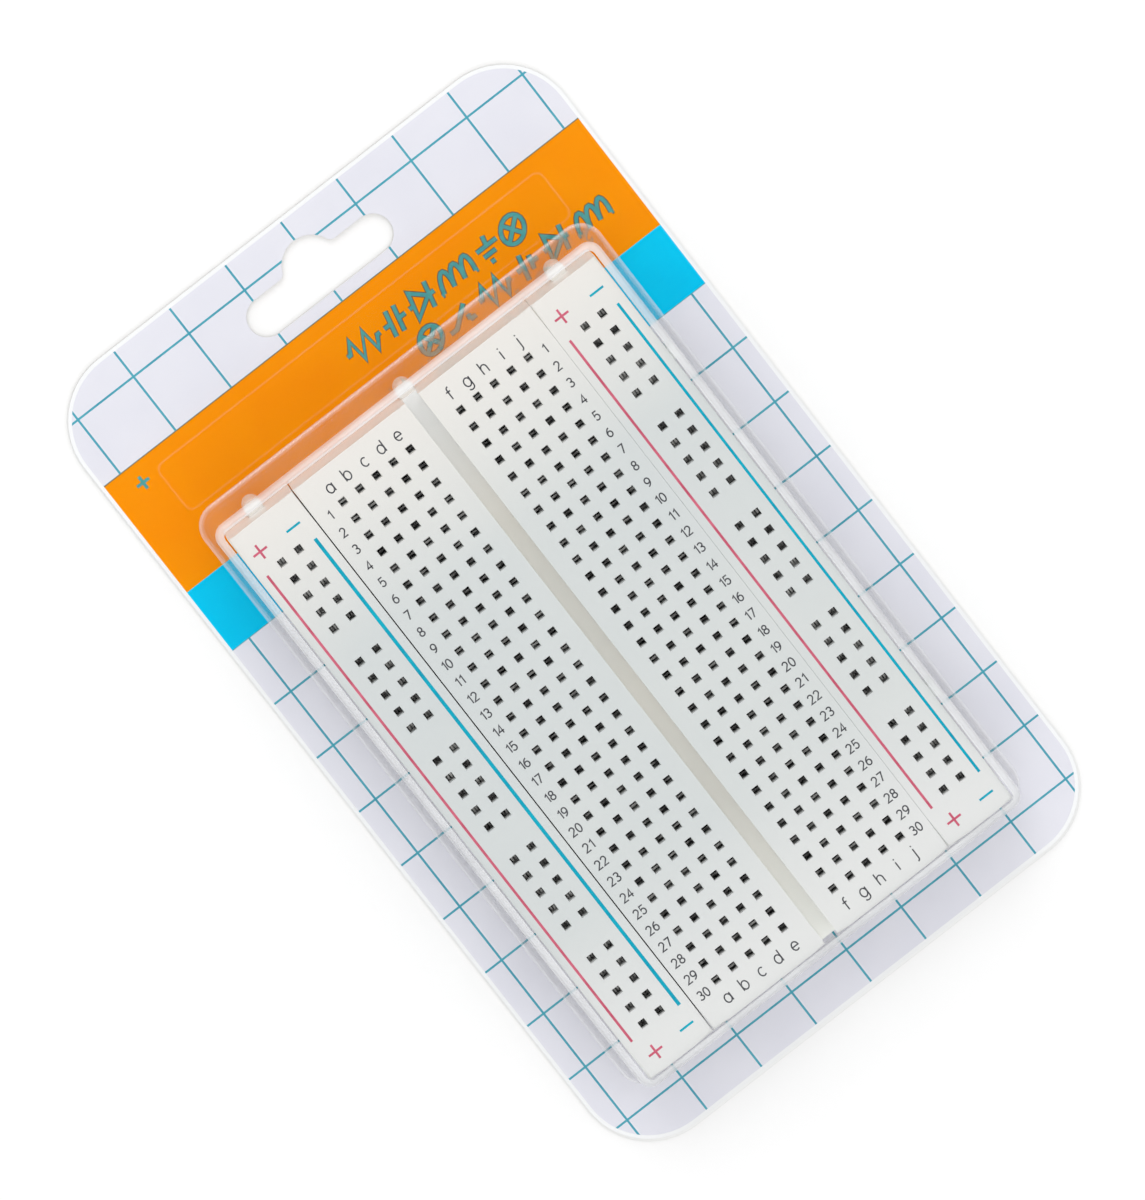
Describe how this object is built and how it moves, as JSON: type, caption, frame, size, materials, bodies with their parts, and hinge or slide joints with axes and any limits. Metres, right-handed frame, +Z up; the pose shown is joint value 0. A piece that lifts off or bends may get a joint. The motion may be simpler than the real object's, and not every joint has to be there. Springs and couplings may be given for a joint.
{
  "type": "solderless breadboard on a hang card",
  "caption": "Plug-in circuit prototyping board with a centre terminal strip and two clip-on power rails, sealed under a clear blister on a printed hang card.",
  "frame": {"origin": "middle of the hang card's underside, in the plane that the pack lies on", "axes": "+X across the board from column a to column j; +Y along the card towards the hang hole; +Z up from the card to the blister's roof"},
  "size_m": [0.0732, 0.1186, 0.0111],
  "materials": {
    "white_abs": "satin moulded",
    "clip_metal": "plated spring strip",
    "foam": "closed-cell adhesive foam",
    "liner_paper": "waxed release paper",
    "printed_card": "coated, printed on the front",
    "clear_sheet": "clear thermoformed sheet"
  },
  "bodies": {
    "board": {"terminal_strip": "white_abs", "foam_pad_terminal": "foam", "clip_row_01_a_to_e": "clip_metal", "clip_row_01_f_to_j": "clip_metal", "clip_row_02_a_to_e": "clip_metal", "clip_row_02_f_to_j": "clip_metal", "clip_row_03_a_to_e": "clip_metal", "clip_row_03_f_to_j": "clip_metal", "clip_row_04_a_to_e": "clip_metal", "clip_row_04_f_to_j": "clip_metal", "clip_row_05_a_to_e": "clip_metal", "clip_row_05_f_to_j": "clip_metal", "clip_row_06_a_to_e": "clip_metal", "clip_row_06_f_to_j": "clip_metal", "clip_row_07_a_to_e": "clip_metal", "clip_row_07_f_to_j": "clip_metal", "clip_row_08_a_to_e": "clip_metal", "clip_row_08_f_to_j": "clip_metal", "clip_row_09_a_to_e": "clip_metal", "clip_row_09_f_to_j": "clip_metal", "clip_row_10_a_to_e": "clip_metal", "clip_row_10_f_to_j": "clip_metal", "clip_row_11_a_to_e": "clip_metal", "clip_row_11_f_to_j": "clip_metal", "clip_row_12_a_to_e": "clip_metal", "clip_row_12_f_to_j": "clip_metal", "clip_row_13_a_to_e": "clip_metal", "clip_row_13_f_to_j": "clip_metal", "clip_row_14_a_to_e": "clip_metal", "clip_row_14_f_to_j": "clip_metal", "clip_row_15_a_to_e": "clip_metal", "clip_row_15_f_to_j": "clip_metal", "clip_row_16_a_to_e": "clip_metal", "clip_row_16_f_to_j": "clip_metal", "clip_row_17_a_to_e": "clip_metal", "clip_row_17_f_to_j": "clip_metal", "clip_row_18_a_to_e": "clip_metal", "clip_row_18_f_to_j": "clip_metal", "clip_row_19_a_to_e": "clip_metal", "clip_row_19_f_to_j": "clip_metal", "clip_row_20_a_to_e": "clip_metal", "clip_row_20_f_to_j": "clip_metal", "clip_row_21_a_to_e": "clip_metal", "clip_row_21_f_to_j": "clip_metal", "clip_row_22_a_to_e": "clip_metal", "clip_row_22_f_to_j": "clip_metal"},
    "left_rail": {"power_rail_left": "white_abs", "foam_pad_left_rail": "foam", "bus_clip_left_plus": "clip_metal", "bus_clip_left_minus": "clip_metal"},
    "right_rail": {"power_rail_right": "white_abs", "foam_pad_right_rail": "foam", "bus_clip_right_plus": "clip_metal", "bus_clip_right_minus": "clip_metal"},
    "cover": {"blister_cover": "clear_sheet"},
    "card": {"backing_card": "printed_card"},
    "terminal_liner": {"release_liner_terminal": "liner_paper"},
    "left_liner": {"release_liner_left_rail": "liner_paper"},
    "right_liner": {"release_liner_right_rail": "liner_paper"}
  },
  "joints": [
    {"name": "blister_lift", "type": "slide", "parent": "card", "child": "cover", "axis": [0, 0, 1], "range_m": [0, 0.06]},
    {"name": "board_lift", "type": "slide", "parent": "card", "child": "board", "axis": [0, 0, 1], "range_m": [0, 0.03]},
    {"name": "right_rail_lift", "type": "slide", "parent": "board", "child": "right_rail", "axis": [0, 0, 1], "range_m": [0, 0.012]},
    {"name": "left_rail_drop", "type": "slide", "parent": "board", "child": "left_rail", "axis": [0, 0, -1], "range_m": [0, 0.012]},
    {"name": "terminal_liner_peel", "type": "slide", "parent": "board", "child": "terminal_liner", "axis": [0, 0, -1], "range_m": [0, 0.015]},
    {"name": "left_liner_peel", "type": "slide", "parent": "left_rail", "child": "left_liner", "axis": [0, 0, -1], "range_m": [0, 0.009]},
    {"name": "right_liner_peel", "type": "slide", "parent": "right_rail", "child": "right_liner", "axis": [0, 0, -1], "range_m": [0, 0.021]}
  ],
  "couplings": [
    {"joint": "board_lift", "follows": "blister_lift", "ratio": 0.5},
    {"joint": "right_rail_lift", "follows": "blister_lift", "ratio": 0.2},
    {"joint": "left_rail_drop", "follows": "blister_lift", "ratio": 0.2},
    {"joint": "terminal_liner_peel", "follows": "blister_lift", "ratio": 0.25},
    {"joint": "left_liner_peel", "follows": "blister_lift", "ratio": 0.15},
    {"joint": "right_liner_peel", "follows": "blister_lift", "ratio": 0.35}
  ]
}
